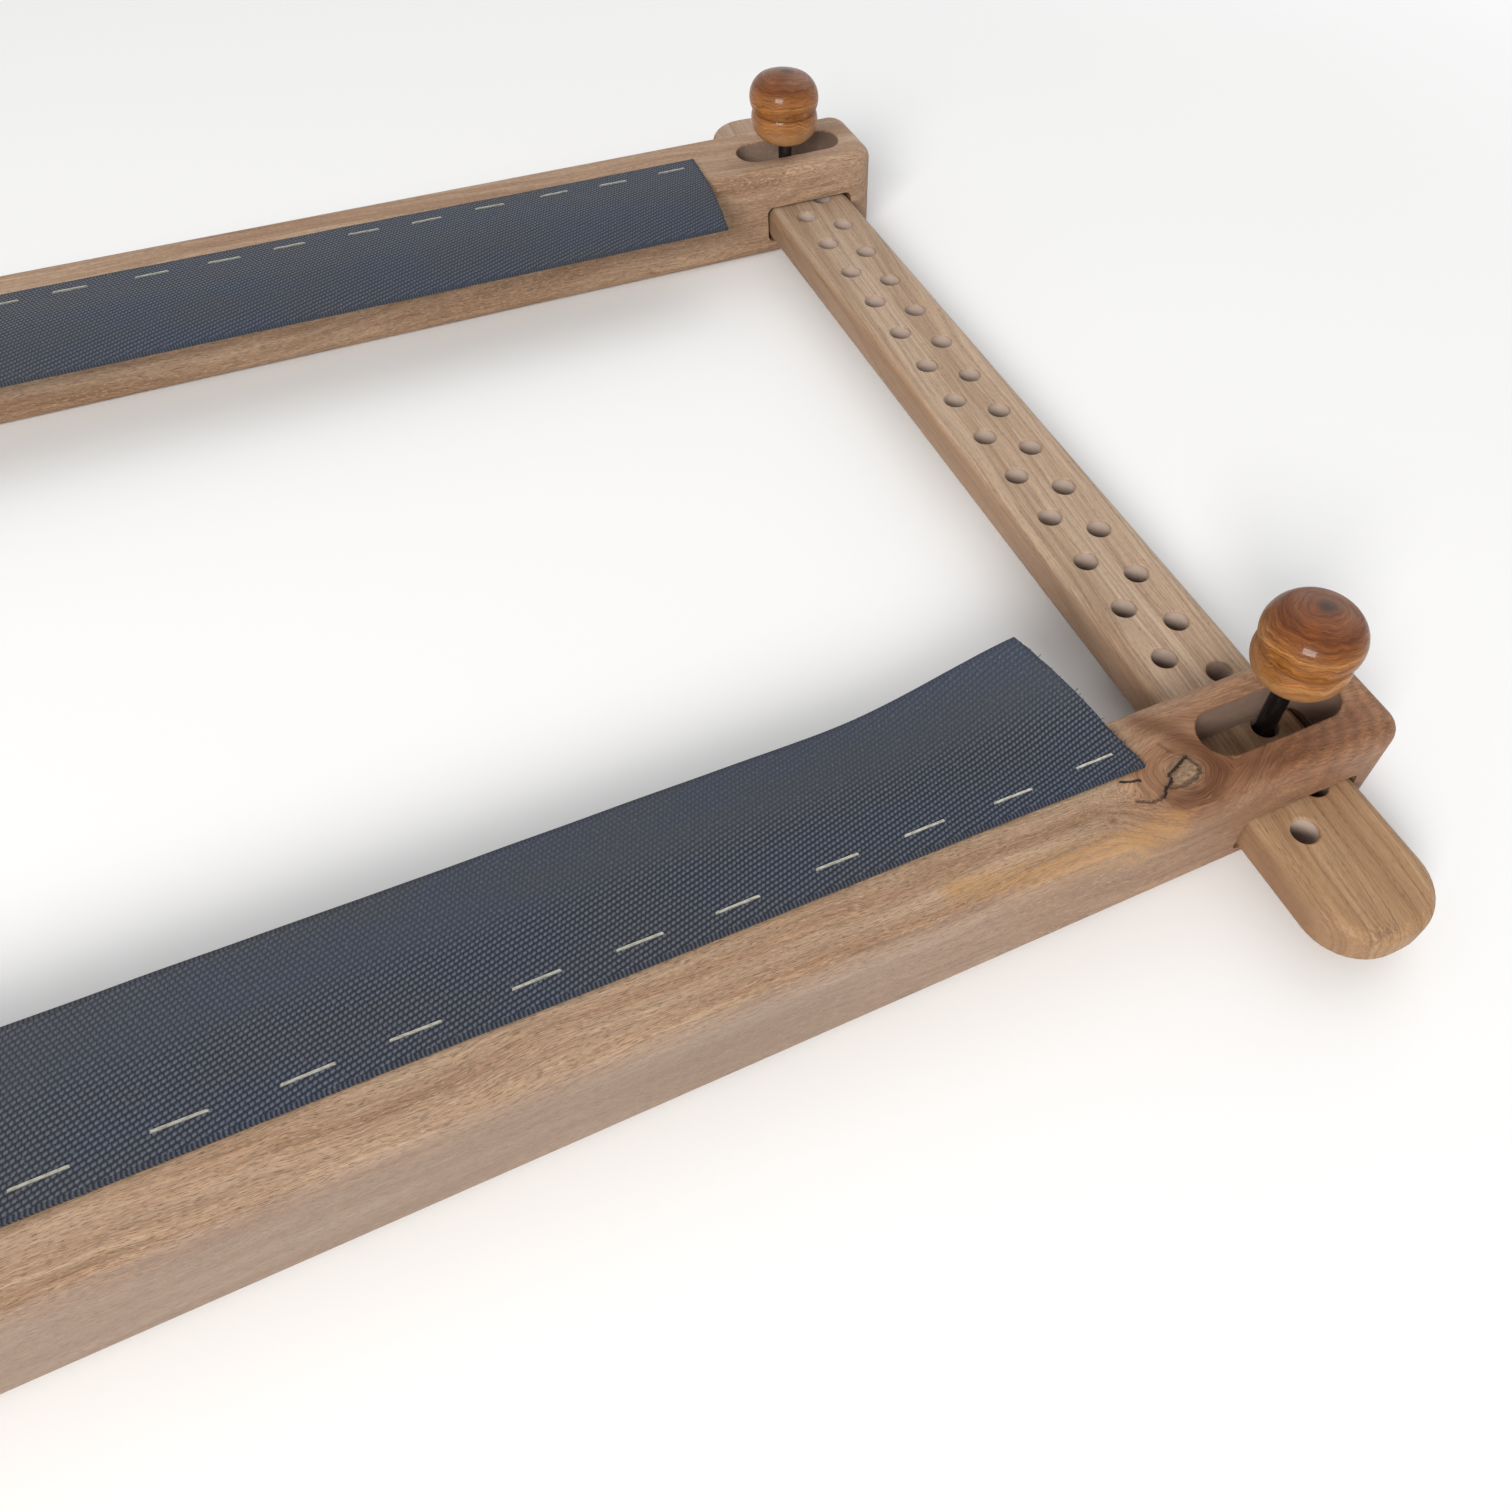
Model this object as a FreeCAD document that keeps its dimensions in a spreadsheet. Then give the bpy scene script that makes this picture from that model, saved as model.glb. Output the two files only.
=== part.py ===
"""Hand-embroidery slate frame (embroidery loom), built as a parametric FreeCAD document.

Two beams lie along X, the front one at -Y. Each carries a strip of webbing, held by a row of
staples, to which the ground fabric is sewn. Two laths along Y pass through mortises near the
beams' ends. A peg in each corner, a steel pin with a turned wooden knob, goes down through the
slot in the beam's top and one of the lath's holes, and stands on the floor of the mortise.
The frame lies on the undersides of its beams at Z 0, with its origin under its middle.
"""

import FreeCAD, Part

import math
import os

import Sketcher
from FreeCAD import Placement, Rotation, Vector

doc = FreeCAD.newDocument("slate_frame")

# ---------------------------------------------------------------------- driving dimensions

SIZES = {
    # beams: planed square stock with eased edges
    "beam_length": 720.0,
    "beam_depth": 40.0,
    "beam_height": 40.0,
    "beam_edge_round": 5.0,
    "beam_end_round": 8.0,
    # laths: flat stock with two staggered rows of holes
    "lath_width": 40.0,
    "lath_thickness": 15.0,
    "lath_edge_round": 4.5,
    "lath_tip_round": 18.0,
    "hole_diameter": 8.4,
    "hole_rim_round": 0.8,
    "hole_pitch": 24.0,
    "holes_in_row": 18,
    "hole_row_spacing": 13.0,
    "hole_tip_margin": 39.0,
    "peg_hole_steps": 3,
    # mortise through each end of a beam, and the slot above it
    "mortise_floor": 6.7,
    "mortise_end_wall": 11.7,
    "mortise_side_gap": 1.0,
    "mortise_top_gap": 1.0,
    "mortise_corner_round": 3.0,
    "lath_seat_gap": 0.3,
    "slot_length": 49.0,
    "slot_width": 17.0,
    "slot_inward": 3.0,
    "slot_setback": 1.6,
    "slot_rim_round": 0.8,
    # pegs: a steel pin and a turned knob
    "pin_diameter": 6.0,
    "pin_chamfer": 0.6,
    "pin_floor_gap": 0.05,
    "pin_wall_gap": 0.2,
    "knob_rise": 7.0,
    "knob_height": 27.5,
    "knob_foot_radius": 8.5,
    "knob_neck_radius": 13.7,
    "knob_neck_height": 12.5,
    "knob_shoulder_radius": 11.5,
    "knob_shoulder_drop": 2.6,
    "knob_crown_radius": 0.8,
    "knob_lower_arc": 8.8,
    "knob_upper_arc": 9.4,
    "knob_socket_depth": 18.0,
    # webbing and its staples
    "webbing_width": 48.0,
    "webbing_flat": 18.0,
    "front_webbing_droop": 5.0,
    "rear_webbing_droop": 30.0,
    "webbing_thickness": 1.4,
    "webbing_end_gap": 80.8,
    "webbing_inset": 20.0,
    "staple_crown": 12.5,
    "staple_leg": 8.0,
    "staple_wire_depth": 0.6,
    "staple_wire_width": 0.7,
    "staple_bend": 0.9,
    "staple_inset": 26.8,
    "staple_spacing": 27.0,
    "staple_end_margin": 12.6,
    "staple_stray": 1.6,
    "staple_side_stray": 0.6,
    "staple_lean": 1.6,
}

sheet = doc.addObject("Spreadsheet::Sheet", "sizes")
for row, (name, value) in enumerate(SIZES.items(), start=1):
    sheet.set("A%d" % row, name)
    sheet.set("B%d" % row, str(value))
    sheet.setAlias("B%d" % row, name)
doc.recompute()


def size(name):
    """A driving dimension, read back from the sheet."""
    return float(sheet.get(name))


def bind(item, prop, text):
    """Ties a property to the sheet: each $name in the text is a driving dimension."""
    item.setExpression(prop, text.replace("$", "sizes."))


# ---------------------------------------------------------------------- places worked out

HALF_PITCH = size("hole_pitch") / 2
HOLES = 2 * round(size("holes_in_row"))
LATH_LENGTH = 2 * size("hole_tip_margin") + (HOLES - 1) * HALF_PITCH
LATH_INSET = size("mortise_end_wall") + size("mortise_side_gap") + size("lath_width") / 2
LATH_X = size("beam_length") / 2 - LATH_INSET
LATH_Z = size("mortise_floor") + size("lath_seat_gap")
PEG_Y = LATH_LENGTH / 2 - size("hole_tip_margin") - size("peg_hole_steps") * HALF_PITCH
PEG_SHIFT = size("hole_row_spacing") / 2
SLOT_X = LATH_X - size("slot_inward")
SLOT_Y = size("beam_depth") / 2 + size("slot_setback")
PEG_INSET = SLOT_Y + (size("slot_width") - size("pin_diameter")) / 2 - size("pin_wall_gap")
BEAM_Y = PEG_Y + PEG_INSET
PIN_Z = size("mortise_floor") + size("pin_floor_gap")
KNOB_Z = size("beam_height") + size("knob_rise")
WEBBING_LENGTH = size("beam_length") - 2 * size("webbing_end_gap")

HALF_TURN = Rotation(Vector(0, 0, 1), 180)
NO_TURN = Rotation()

# ---------------------------------------------------------------------- sketches and bodies


def new_body(name):
    body = doc.addObject("PartDesign::Body", name)
    body.Label = name
    return body


def origin_item(body, role):
    """The body's own origin plane or axis with the given role, such as XY_Plane."""
    return next(item for item in body.Origin.OriginFeatures if item.Role == role)


def new_sketch(body, name, role):
    """A sketch lying flat on one of the body's own origin planes."""
    sketch = body.newObject("Sketcher::SketchObject", body.Name + "_" + name)
    sketch.AttachmentSupport = [(origin_item(body, role), "")]
    sketch.MapMode = "FlatFace"
    return sketch


def drawn_value(sketch, kind, places):
    """What a dimension measures on the geometry as it is drawn."""
    if kind in ("Radius", "Diameter"):
        radius = sketch.Geometry[places[0]].Radius
        return radius if kind == "Radius" else 2 * radius
    step = sketch.getPoint(*places[2:]) - sketch.getPoint(*places[:2])
    return step.x if kind == "DistanceX" else step.y


def hold(sketch, kind, places, text):
    """A dimension constraint, tied to the sheet."""
    value = drawn_value(sketch, kind, places)
    index = sketch.addConstraint(Sketcher.Constraint(kind, *places, value))
    bind(sketch, "Constraints[%d]" % index, text)


def hold_point(sketch, line, end, x_text, y_text):
    """Holds one end of a line, or a centre, by its distances from the sketch's origin."""
    hold(sketch, "DistanceX", (-1, 1, line, end), x_text)
    hold(sketch, "DistanceY", (-1, 1, line, end), y_text)


def add_box(sketch, x_text, y_text, width_text, height_text):
    """A rectangle with its lower left corner at (x, y)."""
    corners = (Vector(0, 0, 0), Vector(1, 0, 0), Vector(1, 1, 0), Vector(0, 1, 0))
    first = sketch.GeometryCount
    for i in range(4):
        sketch.addGeometry(Part.LineSegment(corners[i], corners[(i + 1) % 4]), False)
    for i in range(4):
        after = first + (i + 1) % 4
        sketch.addConstraint(Sketcher.Constraint("Coincident", first + i, 2, after, 1))
    for i, kind in enumerate(("Horizontal", "Vertical", "Horizontal", "Vertical")):
        sketch.addConstraint(Sketcher.Constraint(kind, first + i))
    hold(sketch, "DistanceX", (first, 1, first, 2), width_text)
    hold(sketch, "DistanceY", (first + 1, 1, first + 1, 2), height_text)
    hold_point(sketch, first, 1, x_text, y_text)


def add_circle(sketch, x_text, y_text, diameter_text):
    circle = Part.Circle(Vector(0, 0, 0), Vector(0, 0, 1), 1)
    index = sketch.addGeometry(circle, False)
    hold(sketch, "Diameter", (index,), diameter_text)
    hold_point(sketch, index, 3, x_text, y_text)


def pad(body, sketch, length_text, symmetric=False):
    feature = body.newObject("PartDesign::Pad", sketch.Name + "_pad")
    feature.Profile = sketch
    feature.Midplane = symmetric
    bind(feature, "Length", length_text)
    doc.recompute()
    sketch.Visibility = False
    return feature


def cut_through(body, sketch, both_ways=True):
    """A pocket right through the body, or only upwards; it must take something away."""
    before = body.Shape.Volume
    feature = body.newObject("PartDesign::Pocket", sketch.Name + "_cut")
    feature.Profile = sketch
    feature.Type = "ThroughAll"
    feature.Midplane = both_ways
    feature.Reversed = not both_ways
    doc.recompute()
    if body.Shape.Volume >= before - 1:
        raise RuntimeError(sketch.Name + " cuts nothing")
    return feature


def edge_names(shape, wanted):
    """The names of the edges for which wanted(edge) holds."""
    return ["Edge%d" % (i + 1) for i, edge in enumerate(shape.Edges) if wanted(edge)]


def runs_along(edge, axis):
    """Whether a straight edge is parallel to the axis."""
    if edge.Curve.TypeId != "Part::GeomLine":
        return False
    return abs(abs(edge.Curve.Direction.dot(axis)) - 1) < 1e-6


def lies_at(edge, height):
    """Whether the whole edge lies at one height."""
    box = edge.BoundBox
    return abs(box.ZMin - height) < 1e-6 and abs(box.ZMax - height) < 1e-6


def round_off(body, name, wanted, radius_text):
    """A fillet on the tip's edges for which wanted(edge) holds."""
    base = body.Tip
    feature = body.newObject("PartDesign::Fillet", body.Name + "_" + name)
    feature.Base = (base, edge_names(base.Shape, wanted))
    bind(feature, "Radius", radius_text)
    doc.recompute()
    return feature


# ---------------------------------------------------------------------- beams


def by_slot(edge):
    """Whether an edge lies within the length and width of either slot."""
    centre = edge.BoundBox.Center
    off_x = abs(abs(centre.x) - SLOT_X)
    off_y = abs(centre.y - SLOT_Y)
    return off_x < size("slot_length") / 2 and off_y < size("slot_width") / 2 + 1e-6


def make_beam(name, place):
    """A beam from its outer face at Y 0 to its inner face, with a mortise and slot at each end."""
    body = new_body(name)
    section = new_sketch(body, "section", "YZ_Plane")
    add_box(section, "0", "0", "$beam_depth", "$beam_height")
    pad(body, section, "$beam_length", symmetric=True)
    round_off(body, "end_corners", lambda e: runs_along(e, Vector(0, 0, 1)), "$beam_end_round")
    top = size("beam_height")
    round_off(body, "edges", lambda e: lies_at(e, 0) or lies_at(e, top), "$beam_edge_round")

    opening_width = "$lath_width + 2 * $mortise_side_gap"
    opening_height = "$lath_seat_gap + $lath_thickness + $mortise_top_gap"
    lath_x = "($beam_length / 2 - $mortise_end_wall - $mortise_side_gap - $lath_width / 2)"
    mortises = new_sketch(body, "mortises", "XZ_Plane")
    for sign in ("-", ""):
        left = sign + lath_x + " - (" + opening_width + ") / 2"
        add_box(mortises, left, "$mortise_floor", opening_width, opening_height)
    cut_through(body, mortises)
    inside = LATH_X - size("lath_width")
    round_off(
        body,
        "mortise_corners",
        lambda e: runs_along(e, Vector(0, 1, 0)) and abs(e.BoundBox.Center.x) > inside
        and 0 < e.BoundBox.Center.z < top and e.BoundBox.YLength > size("beam_depth") - 1,
        "$mortise_corner_round",
    )

    slot_x = "(" + lath_x + " - $slot_inward)"
    slot_y = "$beam_depth / 2 + $slot_setback"
    straight = "($slot_length - $slot_width)"
    runs = new_sketch(body, "slot_runs", "XY_Plane")
    ends = new_sketch(body, "slot_ends", "XY_Plane")
    for sign in ("-", ""):
        left = sign + slot_x + " - " + straight + " / 2"
        add_box(runs, left, slot_y + " - $slot_width / 2", straight, "$slot_width")
        for side in (" - ", " + "):
            add_circle(ends, sign + slot_x + side + straight + " / 2", slot_y, "$slot_width")
    for sketch in (runs, ends):
        bind(sketch, "AttachmentOffset.Base.z", "$mortise_floor + $lath_thickness")
        cut_through(body, sketch, both_ways=False)
    round_off(body, "slot_rims", lambda e: lies_at(e, top) and by_slot(e), "$slot_rim_round")
    body.Placement = place
    return body


# ---------------------------------------------------------------------- laths


def is_hole_rim(edge):
    """Whether an edge is a whole circle of the peg holes' size."""
    if edge.Curve.TypeId != "Part::GeomCircle":
        return False
    return abs(edge.Curve.Radius - size("hole_diameter") / 2) < 1e-6


def make_lath(name, place):
    """A lath centred on its own origin, with its lowest face at Z 0."""
    body = new_body(name)
    length = "(2 * $hole_tip_margin + (2 * $holes_in_row - 1) * $hole_pitch / 2)"
    outline = new_sketch(body, "outline", "XY_Plane")
    add_box(outline, "-$lath_width / 2", "-" + length + " / 2", "$lath_width", length)
    pad(body, outline, "$lath_thickness")
    round_off(body, "tips", lambda e: runs_along(e, Vector(0, 0, 1)), "$lath_tip_round")
    top = size("lath_thickness")
    round_off(body, "edges", lambda e: lies_at(e, 0) or lies_at(e, top), "$lath_edge_round")

    holes = new_sketch(body, "holes", "XY_Plane")
    first_y = "-" + length + " / 2 + $hole_tip_margin"
    add_circle(holes, "-$hole_row_spacing / 2", first_y, "$hole_diameter")
    add_circle(holes, "$hole_row_spacing / 2", first_y + " + $hole_pitch / 2", "$hole_diameter")
    drilled = cut_through(body, holes)
    rows = body.newObject("PartDesign::LinearPattern", body.Name + "_rows")
    rows.Originals = [drilled]
    rows.Direction = (origin_item(body, "Y_Axis"), [""])
    bind(rows, "Length", "($holes_in_row - 1) * $hole_pitch")
    bind(rows, "Occurrences", "$holes_in_row")
    body.Tip = rows
    doc.recompute()
    round_off(body, "hole_rims", is_hole_rim, "$hole_rim_round")
    body.Placement = place
    return body


# ---------------------------------------------------------------------- pegs


def make_pin(name, place):
    """A steel pin standing on Z 0, chamfered at both ends."""
    body = new_body(name)
    circle = new_sketch(body, "circle", "XY_Plane")
    add_circle(circle, "0", "0", "$pin_diameter")
    foot = "$mortise_floor - $pin_floor_gap"
    pad(body, circle, "$beam_height + $knob_rise + $knob_socket_depth - " + foot)
    feature = body.newObject("PartDesign::Chamfer", name + "_ends")
    base = circle.Name + "_pad"
    rims = edge_names(body.Shape, lambda e: e.Curve.TypeId == "Part::GeomCircle")
    feature.Base = (doc.getObject(base), rims)
    bind(feature, "Size", "$pin_chamfer")
    doc.recompute()
    body.Placement = place
    return body


def arc_between(start, end, radius):
    """An arc from start to end that bulges to the right of that way."""
    chord = end - start
    middle = (start + end) / 2
    reach = math.sqrt(radius**2 - (chord.Length / 2) ** 2)
    out = Vector(chord.y, -chord.x, 0).normalize()
    return Part.Arc(start, middle + out * (radius - reach), end)


def make_knob(name, place):
    """A turned knob: a bowl-shaped foot, a fine neck, a full rim and a low dome, on its pin."""
    body = new_body(name)
    profile = new_sketch(body, "profile", "XZ_Plane")
    height = size("knob_height")
    socket = Vector(size("pin_diameter") / 2, size("knob_socket_depth"), 0)
    foot = Vector(size("knob_foot_radius"), 0, 0)
    neck = Vector(size("knob_neck_radius"), size("knob_neck_height"), 0)
    shoulder = Vector(size("knob_shoulder_radius"), height - size("knob_shoulder_drop"), 0)
    crown = Vector(size("knob_crown_radius"), height, 0)
    drop = size("knob_shoulder_drop")
    centre_drop = (shoulder.x**2 - crown.x**2 - drop**2) / (2 * drop)
    dome = math.hypot(crown.x, drop + centre_drop)
    tip = Vector(0, height, 0)
    ceiling = Vector(0, socket.y, 0)
    mouth = Vector(socket.x, 0, 0)
    outline = [
        Part.LineSegment(mouth, foot),
        arc_between(foot, neck, size("knob_lower_arc")),
        arc_between(neck, shoulder, size("knob_upper_arc")),
        arc_between(shoulder, crown, dome),
        Part.LineSegment(crown, tip),
        Part.LineSegment(tip, ceiling),
        Part.LineSegment(ceiling, socket),
        Part.LineSegment(socket, mouth),
    ]
    for curve in outline:
        profile.addGeometry(curve, False)
    starts = (
        ("$pin_diameter / 2", "0"),
        ("$knob_foot_radius", "0"),
        ("$knob_neck_radius", "$knob_neck_height"),
        ("$knob_shoulder_radius", "$knob_height - $knob_shoulder_drop"),
        ("$knob_crown_radius", "$knob_height"),
        ("0", "$knob_height"),
        ("0", "$knob_socket_depth"),
        ("$pin_diameter / 2", "$knob_socket_depth"),
    )
    for i, (x_text, y_text) in enumerate(starts):
        hold_point(profile, i, 1, x_text, y_text)
    for i in range(len(outline)):
        profile.addConstraint(Sketcher.Constraint("Coincident", i, 2, (i + 1) % len(outline), 1))
    for i, radius in ((1, "lower"), (2, "upper")):
        hold(profile, "Radius", (i,), "$knob_%s_arc" % radius)
    profile.addConstraint(Sketcher.Constraint("PointOnObject", 3, 3, -2))
    turned = body.newObject("PartDesign::Revolution", name + "_turned")
    turned.Profile = profile
    turned.ReferenceAxis = (profile, ["V_Axis"])
    turned.Angle = 360
    doc.recompute()
    body.Placement = place
    return body


# ---------------------------------------------------------------------- webbing and staples


def make_webbing(name, place):
    """A strip that lies on the beam's top and droops past the beam's inner edge."""
    body = new_body(name)
    section = new_sketch(body, "section", "YZ_Plane")
    droop = name + "_droop"
    turn = math.radians(size(droop))
    bend = (size("webbing_width") - size("webbing_flat")) / turn
    low = Vector(size("webbing_inset"), size("beam_height"), 0)
    run = low + Vector(size("webbing_flat"), 0, 0)
    up = Vector(0, size("webbing_thickness"), 0)
    centre = run - Vector(0, bend, 0)

    def on_droop(radius, share):
        angle = turn * share
        return centre + Vector(radius * math.sin(angle), radius * math.cos(angle), 0)

    outer = bend + up.y
    outline = [
        Part.LineSegment(low, run),
        Part.Arc(run, on_droop(bend, 0.5), on_droop(bend, 1)),
        Part.LineSegment(on_droop(bend, 1), on_droop(outer, 1)),
        Part.Arc(run + up, on_droop(outer, 0.5), on_droop(outer, 1)),
        Part.LineSegment(run + up, low + up),
        Part.LineSegment(low + up, low),
    ]
    for curve in outline:
        section.addGeometry(curve, False)
    # an arc runs counter-clockwise, so both arcs end where the flat part begins
    joints = ((0, 2, 1, 2), (1, 1, 2, 1), (2, 2, 3, 1), (3, 2, 4, 1), (4, 2, 5, 1), (5, 2, 0, 1))
    for joint in joints:
        section.addConstraint(Sketcher.Constraint("Coincident", *joint))
    section.addConstraint(Sketcher.Constraint("Horizontal", 0))
    section.addConstraint(Sketcher.Constraint("Horizontal", 4))
    section.addConstraint(Sketcher.Constraint("Vertical", 5))
    section.addConstraint(Sketcher.Constraint("Coincident", 1, 3, 3, 3))
    section.addConstraint(Sketcher.Constraint("PointOnObject", 1, 3, 2))
    hold_point(section, 0, 1, "$webbing_inset", "$beam_height")
    hold(section, "DistanceX", (0, 1, 0, 2), "$webbing_flat")
    hold(section, "DistanceY", (5, 2, 5, 1), "$webbing_thickness")
    bend_text = "($webbing_width - $webbing_flat) / ($%s * pi / 180)" % droop
    hold(section, "DistanceX", (-1, 1, 1, 3), "$webbing_inset + $webbing_flat")
    hold(section, "DistanceY", (1, 3, 0, 2), bend_text)
    hold(section, "DistanceX", (1, 3, 1, 1), bend_text + " * sin($%s * 1 deg)" % droop)
    pad(body, section, "$beam_length - 2 * $webbing_end_gap", symmetric=True)
    body.Placement = place
    return body


def staple_shape():
    """One staple, with its crown along X above the origin and its legs down to negative Z."""
    half = size("staple_crown") / 2
    wire = size("staple_wire_depth")
    leg = size("staple_leg")
    outer = Part.makeBox(2 * half, size("staple_wire_width"), leg + wire)
    outer.translate(Vector(-half, -size("staple_wire_width") / 2, -leg))
    corners = [e for e in outer.Edges if e.BoundBox.ZMin > 0 and runs_along(e, Vector(0, 1, 0))]
    outer = outer.makeFillet(size("staple_bend"), corners)
    gap = Part.makeBox(2 * (half - wire), 2 * size("staple_wire_width"), leg)
    gap.translate(Vector(wire - half, -size("staple_wire_width"), -leg))
    return outer.cut(gap)


def make_staples(name, place):
    """A row of staples through the webbing into the beam, driven a little unevenly by hand."""
    reach = WEBBING_LENGTH / 2 - size("staple_end_margin")
    count = int(round(2 * reach / size("staple_spacing"))) + 1
    top = size("beam_height") + size("webbing_thickness")
    # each stray swings at a pace of its own, in radians from one staple to the next
    along_pace, across_pace, lean_pace = 2.3, 1.9, 3.1
    one = staple_shape()
    row = []
    for i in range(count):
        share = 2 * i / (count - 1) - 1
        stray = size("staple_stray") * (1 - share**2)
        along = reach * share + stray * math.sin(along_pace * i)
        across = size("staple_inset") + size("staple_side_stray") * math.sin(across_pace * i)
        lean = Rotation(Vector(0, 0, 1), size("staple_lean") * math.sin(lean_pace * i + 1))
        staple = one.copy()
        staple.Placement = Placement(Vector(along, across, top), lean)
        row.append(staple)
    node = doc.addObject("Part::Feature", name)
    node.Label = name
    node.Shape = Part.makeCompound(row)
    node.Placement = place
    return node


# ---------------------------------------------------------------------- the frame

nodes = []
for side, y_sign, turn in (("front", -1, NO_TURN), ("rear", 1, HALF_TURN)):
    beam_place = Placement(Vector(0, y_sign * BEAM_Y, 0), turn)
    nodes.append(make_beam(side + "_beam", beam_place))
    nodes.append(make_webbing(side + "_webbing", beam_place))
    nodes.append(make_staples(side + "_staples", beam_place))
    for hand, x_sign in (("left", -1), ("right", 1)):
        spot = Vector(x_sign * LATH_X - y_sign * PEG_SHIFT, y_sign * PEG_Y, 0)
        peg = side + "_" + hand
        nodes.append(make_pin(peg + "_pin", Placement(spot + Vector(0, 0, PIN_Z), NO_TURN)))
        nodes.append(make_knob(peg + "_knob", Placement(spot + Vector(0, 0, KNOB_Z), NO_TURN)))
for hand, x_sign in (("left", -1), ("right", 1)):
    lath_place = Placement(Vector(x_sign * LATH_X, 0, LATH_Z), NO_TURN)
    nodes.append(make_lath(hand + "_lath", lath_place))
doc.recompute()

# ---------------------------------------------------------------------- checks and export

for item in doc.Objects:
    if {"Invalid", "Error"} & set(item.State):
        raise RuntimeError(item.Label + " didn't build: " + str(item.State))
for node in nodes:
    if node.Shape.isNull() or not node.Shape.isValid() or not node.Shape.Solids:
        raise RuntimeError(node.Label + " has no valid solid")

os.makedirs("parts", exist_ok=True)
for node in nodes:
    node.Shape.exportStep(os.path.join("parts", node.Label + ".step"))
    print(node.Label, len(node.Shape.Solids), round(node.Shape.Volume), node.Shape.BoundBox)
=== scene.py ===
"""Looks of the hand-embroidery slate frame: wood, turned knobs, steel pins, webbing and staples.

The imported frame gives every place. Shader coordinates are in millimetres, so that features sit
where they belong: a beam's are counted from the peg at its knot's end, a lath's from one tip, a
knob's from the middle of its foot, and the webbing's along and across the strip.
"""

import math
import random

import bpy
from mathutils import Matrix, Vector, noise


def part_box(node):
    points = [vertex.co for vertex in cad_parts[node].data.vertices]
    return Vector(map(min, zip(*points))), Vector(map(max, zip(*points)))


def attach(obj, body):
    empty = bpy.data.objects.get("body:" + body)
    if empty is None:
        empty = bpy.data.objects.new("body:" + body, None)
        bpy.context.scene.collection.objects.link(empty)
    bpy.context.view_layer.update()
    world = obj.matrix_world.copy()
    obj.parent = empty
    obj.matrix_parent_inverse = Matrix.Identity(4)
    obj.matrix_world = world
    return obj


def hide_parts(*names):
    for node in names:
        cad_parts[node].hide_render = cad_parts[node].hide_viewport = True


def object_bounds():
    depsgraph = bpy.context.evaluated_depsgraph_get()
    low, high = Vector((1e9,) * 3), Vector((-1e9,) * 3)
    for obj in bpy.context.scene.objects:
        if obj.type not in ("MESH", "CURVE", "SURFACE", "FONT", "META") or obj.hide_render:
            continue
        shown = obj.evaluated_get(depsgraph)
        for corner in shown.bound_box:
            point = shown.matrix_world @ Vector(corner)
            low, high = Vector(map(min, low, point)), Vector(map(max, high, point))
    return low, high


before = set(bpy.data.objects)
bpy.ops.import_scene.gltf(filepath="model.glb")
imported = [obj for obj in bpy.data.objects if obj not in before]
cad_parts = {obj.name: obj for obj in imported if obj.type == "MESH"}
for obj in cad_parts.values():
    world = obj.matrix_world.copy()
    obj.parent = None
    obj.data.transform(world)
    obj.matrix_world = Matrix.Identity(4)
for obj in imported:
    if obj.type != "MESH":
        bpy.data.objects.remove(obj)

CAD_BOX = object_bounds()
MM = 0.001


def middle(node):
    """The centre of a CAD node's box."""
    low, high = (Vector(corner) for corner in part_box(node))
    return (low + high) / 2


PEG = middle("front_right_pin")
NOISE_RANGE = (0.3, 0.7)  # where most of a noise's values lie

# ---------------------------------------------------------------------- node materials


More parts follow.
